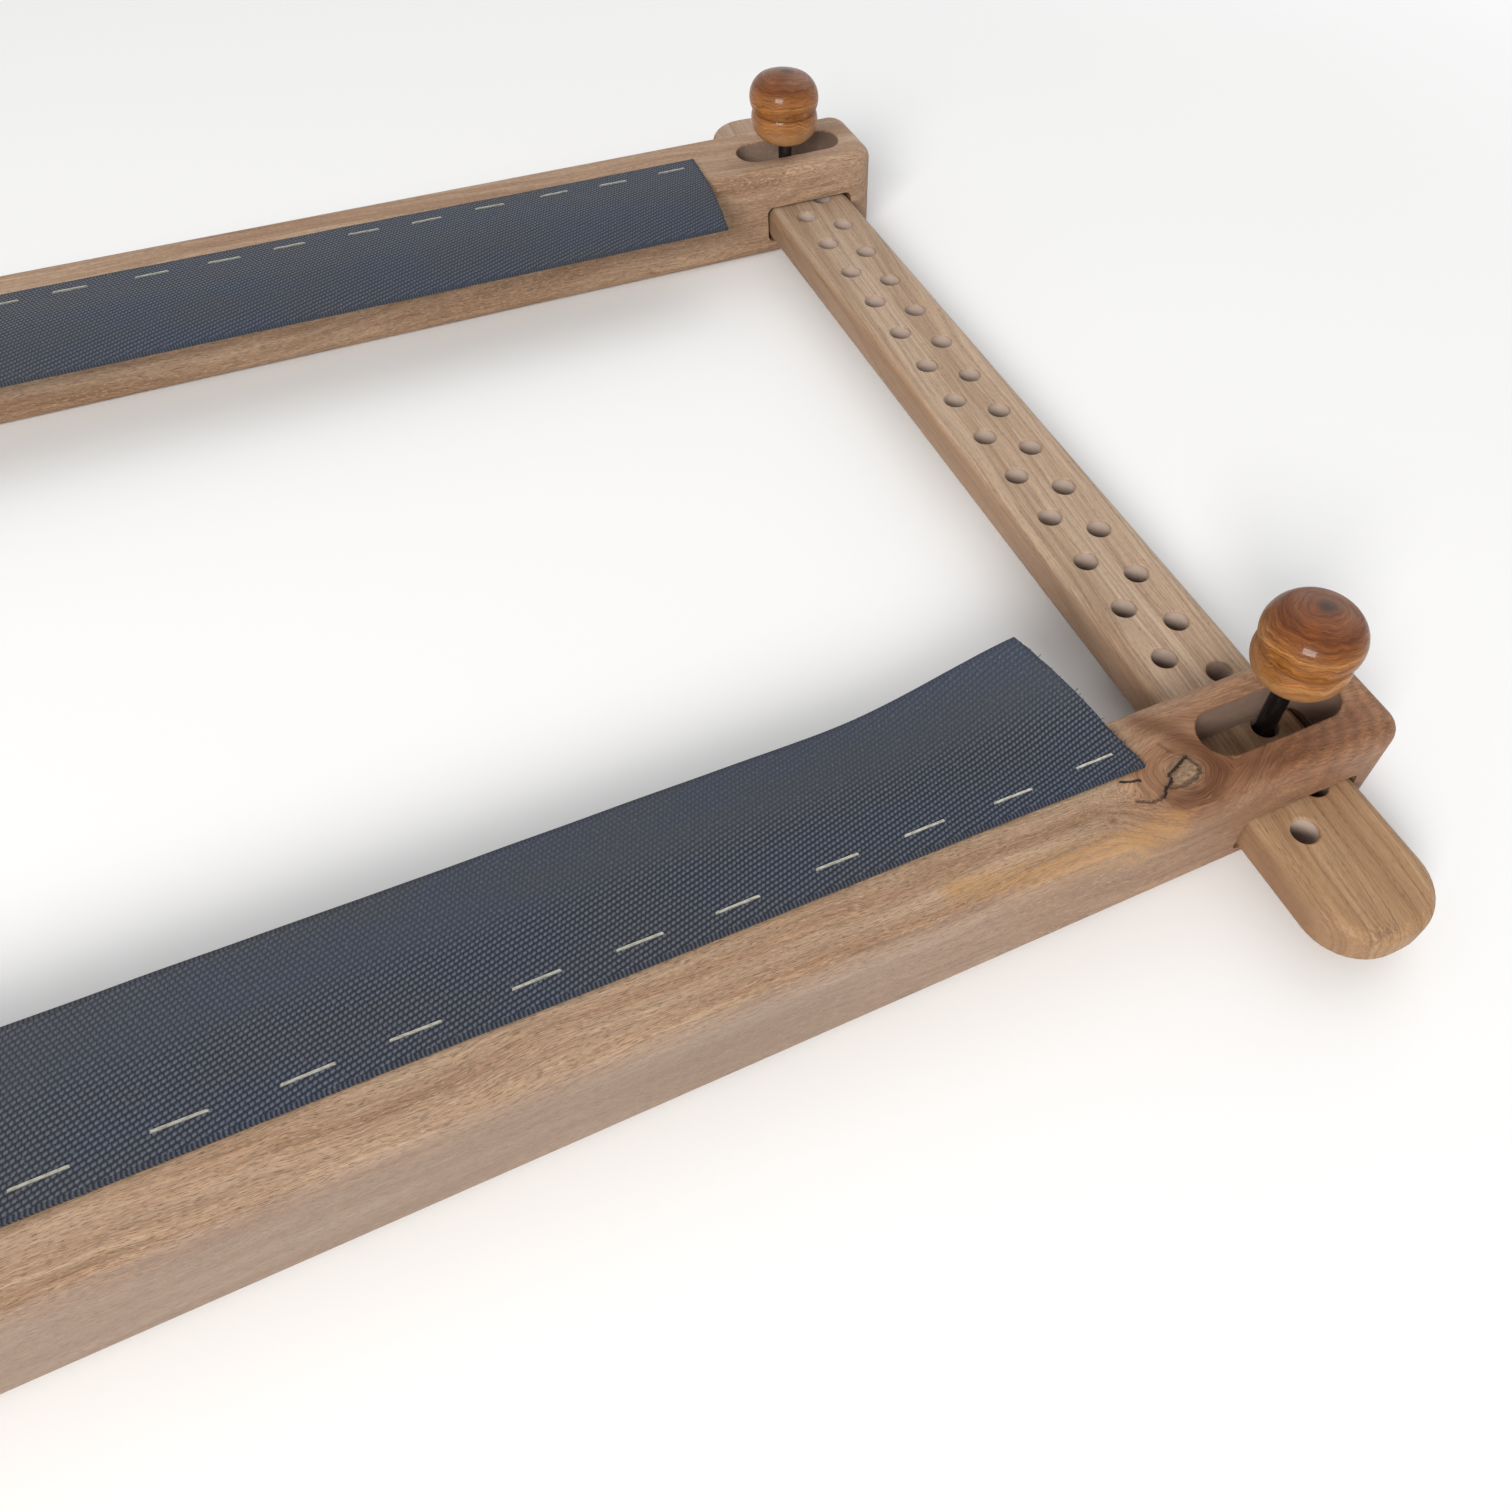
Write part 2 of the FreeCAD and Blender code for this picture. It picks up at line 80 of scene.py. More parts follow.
class Shade:
    """One node-based material, built by small functions that take sockets or plain numbers."""

    def __init__(self, name):
        self.material = bpy.data.materials.new(name)
        self.material.use_nodes = True
        self.tree = self.material.node_tree
        self.tree.nodes.clear()
        self.bsdf = self.tree.nodes.new("ShaderNodeBsdfPrincipled")
        out = self.tree.nodes.new("ShaderNodeOutputMaterial")
        self.tree.links.new(self.bsdf.outputs["BSDF"], out.inputs["Surface"])

    def plug(self, socket, value):
        if isinstance(value, bpy.types.NodeSocket):
            self.tree.links.new(value, socket)
        else:
            socket.default_value = value

    def set(self, name, value):
        """Sets or links an input of the shader itself."""
        self.plug(self.bsdf.inputs[name], value)

    def math(self, operation, *values, clamp=False):
        node = self.tree.nodes.new("ShaderNodeMath")
        node.operation = operation
        node.use_clamp = clamp
        for i, value in enumerate(values):
            self.plug(node.inputs[i], value)
        return node.outputs[0]

    def add(self, a, b):
        return self.math("ADD", a, b)

    def times(self, a, b):
        return self.math("MULTIPLY", a, b)

    def join(self, x, y, z):
        node = self.tree.nodes.new("ShaderNodeCombineXYZ")
        for i, value in enumerate((x, y, z)):
            self.plug(node.inputs[i], value)
        return node.outputs[0]

    def split(self, vector):
        node = self.tree.nodes.new("ShaderNodeSeparateXYZ")
        self.plug(node.inputs[0], vector)
        return tuple(node.outputs)

    def vector(self, operation, *values):
        node = self.tree.nodes.new("ShaderNodeVectorMath")
        node.operation = operation
        for i, value in enumerate(values):
            self.plug(node.inputs["Scale" if operation == "SCALE" and i == 1 else i], value)
        return node.outputs["Value" if operation in ("LENGTH", "DOT_PRODUCT", "DISTANCE") else "Vector"]

    def place(self, origin=(0, 0, 0), turn=1):
        """Object coordinates in millimetres from origin; turn -1 counts X and Y backwards."""
        source = self.tree.nodes.new("ShaderNodeTexCoord").outputs["Object"]
        moved = self.vector("SUBTRACT", source, tuple(origin))
        return self.vector("MULTIPLY", moved, (turn / MM, turn / MM, 1 / MM))

    def facing(self):
        """The surface's own direction, in object space."""
        return self.tree.nodes.new("ShaderNodeTexCoord").outputs["Normal"]

    def scaled(self, vector, factors):
        """The vector with each of its three numbers multiplied by its own factor."""
        return self.vector("MULTIPLY", vector, factors)

    def flat(self, x, y):
        """A point in X and Y alone."""
        return self.join(x, y, 0.0)

    def larger(self, a, b):
        return self.math("MAXIMUM", a, b)

    def size(self, value):
        return self.math("ABSOLUTE", value)

    def noise(self, vector, detail=2.0, roughness=0.5):
        node = self.tree.nodes.new("ShaderNodeTexNoise")
        self.plug(node.inputs["Vector"], vector)
        node.inputs["Scale"].default_value = 1.0
        node.inputs["Detail"].default_value = detail
        node.inputs["Roughness"].default_value = roughness
        return node.outputs[0]

    def layer(self, place, stretch, shift=0.0, detail=2.0, roughness=0.5):
        """Noise over three sockets, each multiplied by its stretch, with the third one shifted."""
        x, y, z = (self.times(item, factor) for item, factor in zip(place, stretch))
        return self.noise(self.join(x, y, self.add(z, shift)), detail, roughness)

    def step(self, value, low, high, out_low=0.0, out_high=1.0):
        """A smooth step from out_low to out_high as value goes from low to high."""
        node = self.tree.nodes.new("ShaderNodeMapRange")
        node.interpolation_type = "SMOOTHSTEP"
        for i, item in enumerate((value, low, high, out_low, out_high)):
            self.plug(node.inputs[i], item)
        return node.outputs[0]

    def spread(self, value, low, high, out_low=0.0, out_high=1.0):
        """The same, in a straight line."""
        node = self.tree.nodes.new("ShaderNodeMapRange")
        for i, item in enumerate((value, low, high, out_low, out_high)):
            self.plug(node.inputs[i], item)
        return node.outputs[0]

    def fade(self, value, low, high):
        """A smooth step down from 1 to 0."""
        return self.step(value, low, high, 1.0, 0.0)

    def level(self, noise, low, high):
        """low to high over the values that a noise mostly takes."""
        return self.spread(noise, *NOISE_RANGE, low, high)

    def swing(self, noise, reach):
        """A noise's 0 to 1 spread from -reach to reach."""
        return self.spread(noise, 0, 1, -reach, reach)

    def rest_of(self, mask):
        """1 where the mask is 0, and 0 where it is 1."""
        return self.spread(mask, 0, 1, 1, 0)

    def ramp(self, value, *stops):
        node = self.tree.nodes.new("ShaderNodeValToRGB")
        elements = node.color_ramp.elements
        while len(elements) < len(stops):
            elements.new(0.5)
        for element, (position, colour) in zip(elements, stops):
            element.position = position
            element.color = (*colour, 1)
        self.plug(node.inputs[0], value)
        return node.outputs[0]

    def mix(self, share, a, b, blend="MIX"):
        node = self.tree.nodes.new("ShaderNodeMix")
        node.data_type = "RGBA"
        node.blend_type = blend
        self.plug(node.inputs[0], share)
        for socket, value in ((node.inputs[6], a), (node.inputs[7], b)):
            self.plug(socket, (*value, 1) if isinstance(value, tuple) else value)
        return node.outputs[2]

    def shade_by(self, colour, level):
        """The colour with its brightness multiplied by level."""
        return self.vector("SCALE", colour, level)

    def bump(self, height, distance, strength=1.0, below=None):
        node = self.tree.nodes.new("ShaderNodeBump")
        node.inputs["Strength"].default_value = strength
        node.inputs["Distance"].default_value = distance
        self.plug(node.inputs["Height"], height)
        if below:
            self.plug(node.inputs["Normal"], below)
        return node.outputs[0]

    def from_line(self, point, start, end):
        """The distance in X and Y from the stretch between two points."""
        along = Vector(end) - Vector(start)
        away = self.vector("SUBTRACT", point, (*start, 0.0))
        share = self.vector("DOT_PRODUCT", away, (*(along / along.length_squared), 0.0))
        share = self.math("ADD", share, 0.0, clamp=True)
        return self.vector("DISTANCE", away, self.vector("SCALE", (*along, 0.0), share))

    def from_path(self, point, path):
        """The distance in X and Y from a bent line through the points."""
        nearest = None
        for start, end in zip(path, path[1:]):
            distance = self.from_line(point, start, end)
            nearest = distance if nearest is None else self.math("MINIMUM", nearest, distance)
        return nearest

    def near(self, distance, width):
        """1 on a line, falling smoothly to 0 at the given distance from it."""
        return self.fade(distance, 0.0, width)


def dress(node, shade):
    """Puts a material on every slot of a CAD node."""
    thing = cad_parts[node]
    for slot in thing.material_slots:
        slot.material = shade.material
    if not thing.material_slots:
        thing.data.materials.append(shade.material)


# ---------------------------------------------------------------------- beams
# Places are from the peg: X along the beam, Y across it, Z up from the table.

KNOT = (-45.0, -12.5)
KNOT_CRACK = (
    (-41.5, -8.2), (-43.8, -9.2), (-46.6, -10.4), (-49.2, -11.4),
    (-50.2, -13.8), (-53.1, -15.2), (-54.9, -17.4),
)
KNOT_RIM = ((-41.2, -8.4), (-39.9, -12.4), (-40.9, -14.4), (-44.3, -15.8), (-48.1, -16.2), (-51.4, -15.4))
KNOT_TAIL = ((-45.7, -1.6), (-44.5, -4.8), (-42.2, -7.0))
LOW_CRACK = ((-62.5, -15.4), (-58.6, -17.5), (-56.5, -17.3), (-54.0, -16.6))
SHORT_CRACK = ((-63.6, -7.8), (-61.5, -8.9), (-58.0, -9.7))
ORANGE_STREAK = ((-122.0, -19.0), (-101.0, -22.5), (-80.0, -24.2), (-55.0, -26.0))
DARK_FRONT = ((-30.0, -17.0), (-15.6, -19.5), (12.0, -17.5))
DARK_SWIRL = ((-47.0, 8.0), (-40.0, 0.0), (-35.0, -8.0), (-35.5, -16.0), (-42.0, -21.5), (-52.0, -21.0))
BROWN_SPOT = (-72.4, -18.0)
SHIMMER_CENTRE = (-20.0, -5.0, 40.0)
SLOT_CENTRE = (-9.5, -5.3)
SLOT_HALF = 16.0  # half of the slot's straight part
SLOT_RADIUS = 8.9  # its half width, with some of the rounded rim
SLOT_RIM = (38.6, 39.6)  # heights over which the slot's wall ends
TOP_FROM = (22, 36)  # heights over which the top's looks set in

BEAM_TONES = (
    (0.30, (0.295, 0.168, 0.094)),
    (0.45, (0.372, 0.230, 0.142)),
    (0.57, (0.430, 0.284, 0.184)),
    (0.72, (0.485, 0.338, 0.232)),
)
KNOT_TONES = (
    (0.35, (0.17, 0.095, 0.052)),
    (0.52, (0.31, 0.205, 0.120)),
    (0.66, (0.40, 0.285, 0.185)),
)
BEAM_PORE = (0.16, 0.085, 0.05)
BEAM_FLECK = (0.64, 0.47, 0.33)
WARM_END = (0.70, 0.50, 0.37)
WARM_KNOT = (0.80, 0.60, 0.44)
SWIRL_TINT = (0.42, 0.29, 0.20)
SHADOW_TINT = (0.62, 0.50, 0.44)
OUTER_GREY = (0.285, 0.215, 0.175)
BEAM_END_GRAIN = (0.28, 0.15, 0.08)
STREAK_ORANGE = (0.50, 0.265, 0.095)
HALO_BROWN = (0.13, 0.065, 0.03)
RIM_BROWN = (0.10, 0.05, 0.03)
CRACK_BLACK = (0.012, 0.008, 0.006)
SPOT_BROWN = (0.14, 0.07, 0.035)
SLOT_BROWN = (0.28, 0.205, 0.170)


def knot_marks(s, place, on_top, bands, colour, relief):
    """The knot with its bark line and cracks, and the streak and spot beside it."""
    x, y, z = s.split(place)
    shake = s.noise(s.scaled(place, (0.9, 0.9, 0.9)), detail=3)
    shake = s.vector("SCALE", s.flat(s.add(shake, -0.5), s.add(s.times(shake, -1), 0.5)), 1.6)
    spot = s.vector("ADD", s.flat(x, y), shake)

    patch = s.scaled(s.vector("SUBTRACT", spot, (*KNOT, 0.0)), (0.165, 0.22, 0.0))
    patch = s.times(s.fade(s.vector("LENGTH", patch), 0.75, 1.1), on_top)
    mottle = s.noise(s.scaled(place, (0.5, 0.8, 0.8)), detail=4)
    colour = s.mix(s.times(patch, 0.9), colour, s.ramp(mottle, *KNOT_TONES))

    streak = s.near(s.from_path(spot, ORANGE_STREAK), 6.0)
    streak = s.times(streak, s.times(s.spread(bands, 0.35, 0.65, 0.25, 1.0), s.step(z, 22, 34)))
    colour = s.mix(s.times(streak, 0.75), colour, STREAK_ORANGE)

    from_crack = s.from_path(spot, KNOT_CRACK)
    halo = s.near(from_crack, 3.0)
    colour = s.mix(s.times(s.times(halo, on_top), 0.60), colour, HALO_BROWN)
    rim = s.near(s.from_path(spot, KNOT_RIM), 1.0)
    rim = s.larger(rim, s.times(s.near(s.from_path(spot, KNOT_TAIL), 1.1), 0.45))
    rim = s.larger(rim, s.near(s.from_path(spot, LOW_CRACK), 0.7))
    colour = s.mix(s.times(s.times(rim, on_top), 0.75), colour, RIM_BROWN)
    crack = s.larger(s.near(from_crack, 0.62), s.near(s.from_path(spot, SHORT_CRACK), 0.5))
    crack = s.times(crack, on_top)
    colour = s.mix(crack, colour, CRACK_BLACK)
    brown = s.near(s.vector("DISTANCE", spot, (*BROWN_SPOT, 0.0)), 2.0)
    colour = s.mix(s.times(brown, s.times(on_top, 0.75)), colour, SPOT_BROWN)

    sunk = s.larger(crack, s.times(rim, s.times(on_top, 0.6)))
    return colour, s.bump(s.times(sunk, -1.0), 0.0012, 1.0, relief)


def slot_walls(s, place, colour):
    """A darker, greyer look for the walls of both slots and what lies below them."""
    x, y, z = s.split(place)
    from_middle = s.size(s.add(x, PEG.x / MM))
    slot_x = s.size(s.add(from_middle, -(PEG.x / MM + SLOT_CENTRE[0])))
    slot_x = s.larger(s.add(slot_x, -SLOT_HALF), 0.0)
    slot_y = s.size(s.add(y, -SLOT_CENTRE[1]))
    inside = s.fade(s.vector("LENGTH", s.flat(slot_x, slot_y)), SLOT_RADIUS - 0.1, SLOT_RADIUS + 0.1)
    inside = s.times(inside, s.fade(z, *SLOT_RIM))
    return s.mix(inside, colour, s.mix(0.30, SLOT_BROWN, colour))


def beam_shade(name, turn, seed):
    """Reddish brown wood along X, with a bark-edged knot beside the slot's inner end."""
    s = Shade(name)
    place = s.place(Vector((PEG.x * turn, PEG.y * turn, 0)), turn)
    x, y, z = s.split(place)
    drift = s.vector("ADD", place, (seed, 0.0, seed))
    sway = s.swing(s.noise(s.scaled(drift, (0.006, 0.018, 0.018)), detail=2), 14)
    ripple = s.swing(s.noise(s.scaled(drift, (0.05, 0.10, 0.10)), detail=3), 1.3)
    across = s.add(s.add(y, s.times(z, 0.55)), s.add(sway, ripple))
    across = s.add(across, s.times(x, 0.03))

    # the grain bends round the knot and shimmers round the slot's end
    on_top = s.step(z, *TOP_FROM)
    bend = s.scaled(s.vector("SUBTRACT", s.flat(x, y), (*KNOT, 0.0)), (0.8, 1.0, 0.0))
    ring = s.add(s.vector("LENGTH", bend), s.times(ripple, 1.6))
    by_knot = s.times(s.fade(ring, 8, 26), on_top)
    by_slot = s.times(s.step(x, -34, -8), on_top)
    slot_ring = s.scaled(s.vector("SUBTRACT", place, SHIMMER_CENTRE), (1.0, 1.0, 0.6))
    shimmer = s.add(s.times(s.vector("LENGTH", slot_ring), 1.25), s.times(ripple, 3.5))
    shimmer = s.math("SINE", shimmer)
    grain = s.add(s.times(across, s.rest_of(by_knot)), s.times(ring, s.times(by_knot, 0.8)))
    along = s.times(s.add(x, seed), s.spread(by_knot, 0, 1, 1.0, 0.35))

    wood = (along, grain, z)
    broad = s.layer(wood, (0.008, 0.12, 0.03), detail=3, roughness=0.55)
    bands = s.layer(wood, (0.014, 0.60, 0.1), detail=4, roughness=0.6)
    fibres = s.layer(wood, (0.14, 2.4, 1.5), detail=3, roughness=0.75)
    pores = s.layer(wood, (0.42, 4.2, 2.6))
    flecks = s.layer(wood, (0.50, 3.4, 1.0), shift=40.0)
    streaks = s.layer(wood, (0.045, 1.15, 1.0), shift=20.0, detail=3, roughness=0.7)
    blotch = s.noise(s.scaled(drift, (0.022, 0.05, 0.05)), detail=2)

    colour = s.ramp(broad, *BEAM_TONES)
    colour = s.shade_by(colour, s.spread(bands, 0.25, 0.75, 0.80, 1.18))
    colour = s.shade_by(colour, s.level(fibres, 0.74, 1.27))
    colour = s.shade_by(colour, s.level(streaks, 0.80, 1.20))
    colour = s.mix(s.step(pores, 0.53, 0.68, 0.0, 0.60), colour, BEAM_PORE)
    colour = s.mix(s.step(flecks, 0.54, 0.70, 0.0, 0.48), colour, BEAM_FLECK)
    colour = s.shade_by(colour, s.add(1.0, s.times(s.times(shimmer, by_slot), 0.13)))
    warm = s.times(s.step(x, -75, -5), s.level(blotch, 0.7, 1.0))
    colour = s.mix(s.times(warm, 0.95), colour, WARM_END, "MULTIPLY")
    colour = s.mix(s.times(by_knot, 0.60), colour, WARM_KNOT, "MULTIPLY")
    swirl = s.vector("ADD", s.flat(x, y), s.flat(ripple, ripple))
    swirl = s.times(s.near(s.from_path(swirl, DARK_SWIRL), 6.5), on_top)
    colour = s.mix(s.times(swirl, s.level(fibres, 1.0, 0.6)), colour, SWIRL_TINT, "MULTIPLY")
    shadowed = s.near(s.from_path(s.flat(x, y), DARK_FRONT), 8.0)
    colour = s.mix(s.times(shadowed, s.times(on_top, 0.75)), colour, SHADOW_TINT, "MULTIPLY")

    # the outer face is greyer than the top, least by the end, and the ends are darker
    nx, ny, _ = s.split(s.facing())
    outer = s.step(s.times(ny, -turn), 0.25, 0.85)
    grey = s.mix(s.step(x, -190, -40, 0.60, 0.15), colour, OUTER_GREY)
    colour = s.mix(outer, colour, grey)
    end = s.step(s.size(nx), 0.5, 0.9)
    colour = s.mix(end, colour, s.shade_by(s.mix(0.5, colour, BEAM_END_GRAIN), 0.85))

    height = s.add(s.times(fibres, 0.5), s.times(s.step(pores, 0.56, 0.70), -0.6))
    relief = s.bump(s.add(height, s.times(bands, 0.4)), 0.0002, 0.6)
    colour, relief = knot_marks(s, place, on_top, bands, colour, relief)

    s.set("Base Color", slot_walls(s, place, colour))
    s.set("Roughness", s.level(fibres, 0.42, 0.60))
    s.set("Specular IOR Level", 0.24)
    s.set("Normal", relief)
    return s


# ---------------------------------------------------------------------- laths
# Places are from the middle of one tip: X across, Y towards the other tip, Z up from the top face.

LATH_TONES = (
    (0.30, (0.370, 0.238, 0.150)),
    (0.50, (0.480, 0.335, 0.228)),
    (0.70, (0.560, 0.415, 0.300)),
)
# painted shade at the foot of a hole's wall, rising to a painted glint near its top
HOLE_GLINT_TO_SHADE = ((0.15, (0.13, 0.085, 0.07)), (0.85, (0.60, 0.49, 0.42)))
LATH_LINE = (0.215, 0.120, 0.066)
LATH_PORE = (0.15, 0.085, 0.048)
WARM_TIP = (0.82, 0.68, 0.50)
LATH_SIDE = (0.25, 0.135, 0.075)
ROUGH_BROWN = (0.16, 0.10, 0.065)
ROUGH_PATCH = (-7.5, 4.0)
HOLES_FROM = (28, 32)  # where the holes start, as seen from the tip
HOLES_TO = (466, 470)
HOLES_REACH = (14, 15)  # how far they lie from the lath's middle line
WALL_TOP = (-1.0, -0.3)
WALL_FOOT = (-13.5, -13.0)


def hole_glint_and_shade(s, x, y, z, nz, colour):
    """Darker walls in the holes, between the tips and the lath's sides: a painted varnish glint near the
    top that fades to painted shade at the foot.
    """
    inside = s.times(s.fade(z, *WALL_TOP), s.fade(s.size(x), *HOLES_REACH))
    upright = s.fade(s.size(nz), 0.35, 0.8)
    between_tips = s.times(s.step(y, *HOLES_FROM), s.fade(y, *HOLES_TO))
    wall = s.times(s.times(inside, upright), s.times(between_tips, s.step(z, *WALL_FOOT)))
    # painted glint and painted shade on the holes' walls, set by height
    return s.mix(s.times(wall, 0.85), colour, s.ramp(s.spread(z, -13, 0), *HOLE_GLINT_TO_SHADE))


def lath_shade(name, node, turn, seed):
    """Paler, straight-grained wood along Y, with open pores in lines."""
    s = Shade(name)
    low, high = (Vector(corner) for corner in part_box(node))
    tip = Vector(((low.x + high.x) / 2, low.y if turn > 0 else high.y, high.z))
    x, y, z = s.split(s.place(tip, turn))
    drift = s.join(s.add(x, seed), s.add(y, seed), z)
    sway = s.swing(s.noise(s.scaled(drift, (0.02, 0.005, 0.02)), detail=2), 9)
    ripple = s.swing(s.noise(s.scaled(drift, (0.12, 0.03, 0.10)), detail=3), 1.0)
    grain = s.add(s.add(x, s.times(z, 0.35)), s.add(sway, ripple))
    grain = s.add(grain, s.times(y, -0.05))

    wood = (grain, y, z)
    broad = s.layer(wood, (0.12, 0.005, 0.0), shift=seed, detail=3, roughness=0.55)
    lines = s.layer(wood, (0.42, 0.006, 0.0), shift=seed)
    fibres = s.layer(wood, (2.6, 0.10, 2.0), detail=3, roughness=0.75)
    streaks = s.layer(wood, (1.1, 0.018, 1.0), shift=30.0, detail=3, roughness=0.65)
    pores = s.layer(wood, (4.4, 0.42, 3.0))

    colour = s.ramp(broad, *LATH_TONES)
    dark_line = s.times(s.step(lines, 0.50, 0.57), s.step(lines, 0.57, 0.66, 1.0, 0.15))
    colour = s.mix(s.times(dark_line, 0.34), colour, LATH_LINE)
    colour = s.shade_by(colour, s.level(fibres, 0.82, 1.18))
    colour = s.shade_by(colour, s.level(streaks, 0.84, 1.16))
    pore_here = s.times(s.step(pores, 0.54, 0.70), s.spread(dark_line, 0, 1, 0.30, 0.60))
    colour = s.mix(pore_here, colour, LATH_PORE)
    colour = s.mix(s.step(y, 30, 130, 0.9, 0.0), colour, WARM_TIP, "MULTIPLY")
    colour = s.shade_by(colour, s.step(y, 260, 420, 1.0, 0.88))
    nx, _, nz = s.split(s.facing())
    side = s.step(s.size(nx), 0.45, 0.9)
    colour = s.mix(side, colour, s.mix(0.6, colour, LATH_SIDE))

    # a rough little patch of end grain by the tip
    patch = s.scaled(s.vector("SUBTRACT", s.flat(x, y), (*ROUGH_PATCH, 0.0)), (0.15, 0.30, 0.0))
    speck = s.layer((x, y, z), (0.9, 0.45, 1.0), detail=4)
    rough = s.times(s.fade(s.vector("LENGTH", patch), 0.4, 1.1), s.step(speck, 0.46, 0.60))
    colour = s.mix(s.times(rough, 0.45), colour, ROUGH_BROWN)

    height = s.add(s.times(fibres, 0.5), s.times(pore_here, -0.8))
    height = s.add(height, s.times(rough, -1.5))
    # the holes' walls carry a painted glint and painted shade
    s.set("Base Color", hole_glint_and_shade(s, x, y, z, nz, colour))
    s.set("Roughness", s.level(fibres, 0.44, 0.60))
    s.set("Specular IOR Level", 0.24)
    s.set("Normal", s.bump(height, 0.00018, 0.6))
    return s


# ---------------------------------------------------------------------- pegs


KNOB_TONES = (
    (0.30, (0.165, 0.050, 0.012)),
    (0.45, (0.255, 0.092, 0.022)),
    (0.57, (0.345, 0.142, 0.036)),
    (0.70, (0.450, 0.220, 0.070)),
)
DOME_TINT = (0.52, 0.36, 0.24)
FOOT_TONE = (0.46, 0.26, 0.12)
HEART_TONE = (0.020, 0.006, 0.003)
GROOVE_TONE = (0.10, 0.032, 0.012)
DOME_FROM = (19, 25)  # heights above the knob's foot
FOOT_TO = (4, 12)
GROOVE_HEIGHT = 12.5
RING_CENTRE = (1.6, 1.2)
KNOB_SEED_STEP = 17.0  # so that no two knobs have the same grain


def knob_shade(name, node, seed):
    """Varnished turned wood: rings on the dome, wavy bands and fine tool lines on the sides."""
    s = Shade(name)
    low, high = (Vector(corner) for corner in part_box(node))
    foot = Vector(((low.x + high.x) / 2, (low.y + high.y) / 2, low.z))
    p = s.place(foot)
    x, y, z = s.split(p)
    drift = s.vector("ADD", p, (seed, seed, seed))
    sway = s.noise(s.scaled(drift, (0.07, 0.07, 0.07)), detail=3)
    ripple = s.noise(s.scaled(drift, (0.25, 0.25, 0.25)), detail=3)
    off_centre = s.vector("SUBTRACT", s.flat(x, y), (*RING_CENTRE, 0.0))
    radius = s.vector("LENGTH", s.scaled(off_centre, (1.0, 1.25, 0.0)))
    shell = s.add(s.times(radius, 0.62), s.times(z, -0.85))
    shell = s.add(shell, s.add(s.swing(sway, 4.5), s.swing(ripple, 1.0)))
    bands = s.noise(s.join(s.times(shell, 0.42), 0.0, seed), detail=4, roughness=0.6)
    lines = s.layer((shell, x, y), (2.1, 0.16, 0.16), detail=4, roughness=0.7)
    fine = s.layer((z, radius, sway), (5.5, 5.5, 1.5))

    colour = s.ramp(bands, *KNOB_TONES)
    colour = s.shade_by(colour, s.level(lines, 0.48, 1.52))
    colour = s.shade_by(colour, s.level(fine, 0.86, 1.14))
    on_dome = s.step(z, *DOME_FROM)
    colour = s.mix(s.times(on_dome, 0.9), colour, DOME_TINT, "MULTIPLY")
    colour = s.mix(s.times(s.fade(z, *FOOT_TO), 0.55), colour, FOOT_TONE)
    heart = s.times(s.fade(radius, 1.0, 4.4), on_dome)
    colour = s.mix(s.times(heart, 0.85), colour, HEART_TONE)
    groove = s.near(s.size(s.add(z, -GROOVE_HEIGHT)), 0.7)
    colour = s.mix(s.times(groove, 0.45), colour, GROOVE_TONE)
    height = s.add(s.times(lines, 0.5), s.add(s.times(fine, 0.3), s.times(groove, -1.2)))
    s.set("Base Color", colour)
    s.set("Roughness", 0.40)
    s.set("Specular IOR Level", 0.12)
    s.set("Coat Weight", 0.30)
    s.set("Coat Roughness", 0.09)
    s.set("Normal", s.bump(height, 0.00015, 0.6))
    return s


def pin_shade():
    """Blackened steel rod, a little rubbed."""
    s = Shade("pin_black_steel")
    p = s.place()
    rub = s.noise(s.scaled(p, (0.5, 0.5, 0.12)), detail=3)
    scratch = s.noise(s.scaled(p, (2.5, 2.5, 0.2)), detail=2)
    s.set("Base Color", s.mix(s.step(rub, 0.5, 0.75), (0.020, 0.018, 0.018), (0.055, 0.05, 0.048)))
    s.set("Metallic", 0.7)
    s.set("Roughness", s.level(scratch, 0.30, 0.50))
    s.set("Normal", s.bump(scratch, 0.00005, 0.4))
    return s


def staple_shade():
    """Thin galvanised wire with a dull coat."""
    s = Shade("staple_wire")
    p = s.place()
    wear_and_painted_shade = s.noise(s.scaled(p, (0.6, 1.5, 1.5)), detail=3)
    s.set("Base Color", s.mix(s.step(wear_and_painted_shade, 0.4, 0.7), (0.46, 0.445, 0.375), (0.27, 0.26, 0.225)))
    s.set("Metallic", 0.45)
    s.set("Roughness", s.level(wear_and_painted_shade, 0.30, 0.50))
    s.set("Normal", s.bump(wear_and_painted_shade, 0.00004, 0.4))
    return s


# ---------------------------------------------------------------------- webbing

THICK = 1.1 * MM
WEB_WIDTH = 48 * MM
WEB_FLAT = 18 * MM  # how much of the width lies on the beam
WEB_END_CUT = 21 * MM  # how much shorter the free edge is, seen from above
WEB_LEFT_CUT = 2 * MM
WEB_LIFT_LENGTH = 64 * MM
WEB_LIFT_ANGLE = math.radians(33)
WEB_LIFT_START = 4 * MM
WEB_LIFT_BLEND = 16 * MM
CUT_POWER = 1.5
LIFT_POWER = 2.3
WEB_STEPS = 24  # short straight steps that make up the strip's curve
WEB_CELLS = (300, 30)  # faces along and across

# the weave, in millimetres along and across the strip
RIB = 1.5
FLOAT = 1.3
RIB_SLANT = -0.26
SELVEDGE = (1.0, 1.6)
SELVEDGE_PITCH = 1.1
# painted shade: a darker, smoother band where the strip bends over the beam's inner edge, across from its
# outer edge and along it
FOLD_SHADE_FROM = (20, 34)
FOLD_SHADE_ALONG = (250, 430)
YARN_DARK = ((0.020, 0.023, 0.034), (0.023, 0.025, 0.032))
YARN_LIGHT = ((0.118, 0.142, 0.198), (0.128, 0.140, 0.172))
FUZZ_GREY = (0.22, 0.23, 0.26)


